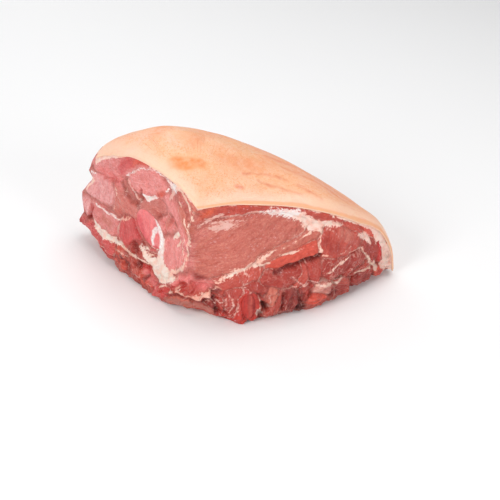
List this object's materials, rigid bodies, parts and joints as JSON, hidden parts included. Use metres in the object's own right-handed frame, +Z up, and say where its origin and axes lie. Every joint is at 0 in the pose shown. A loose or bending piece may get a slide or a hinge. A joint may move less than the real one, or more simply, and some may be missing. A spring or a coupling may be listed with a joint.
{
  "type": "raw pork shoulder joint",
  "caption": "Raw bone-in pork shoulder joint under its rind, with a long cut and an arm cut that show muscles, fat and sawn bones.",
  "frame": {"origin": "on the surface that the joint lies on, under the middle of the joint", "axes": "+X along the long cut, away from the arm cut; +Y from the long cut towards the back; +Z up, rind on top"},
  "size_m": [0.2714, 0.2122, 0.1472],
  "materials": {
    "raw_meat": "moist raw flesh with fat seams under a smooth peach rind",
    "cut_bone": "sawn bone with a red marrow face and a pale rim"
  },
  "bodies": {
    "root": {"pork_shoulder": "raw_meat", "arm_bone": "cut_bone", "rib_bone": "cut_bone"}
  },
  "joints": []
}
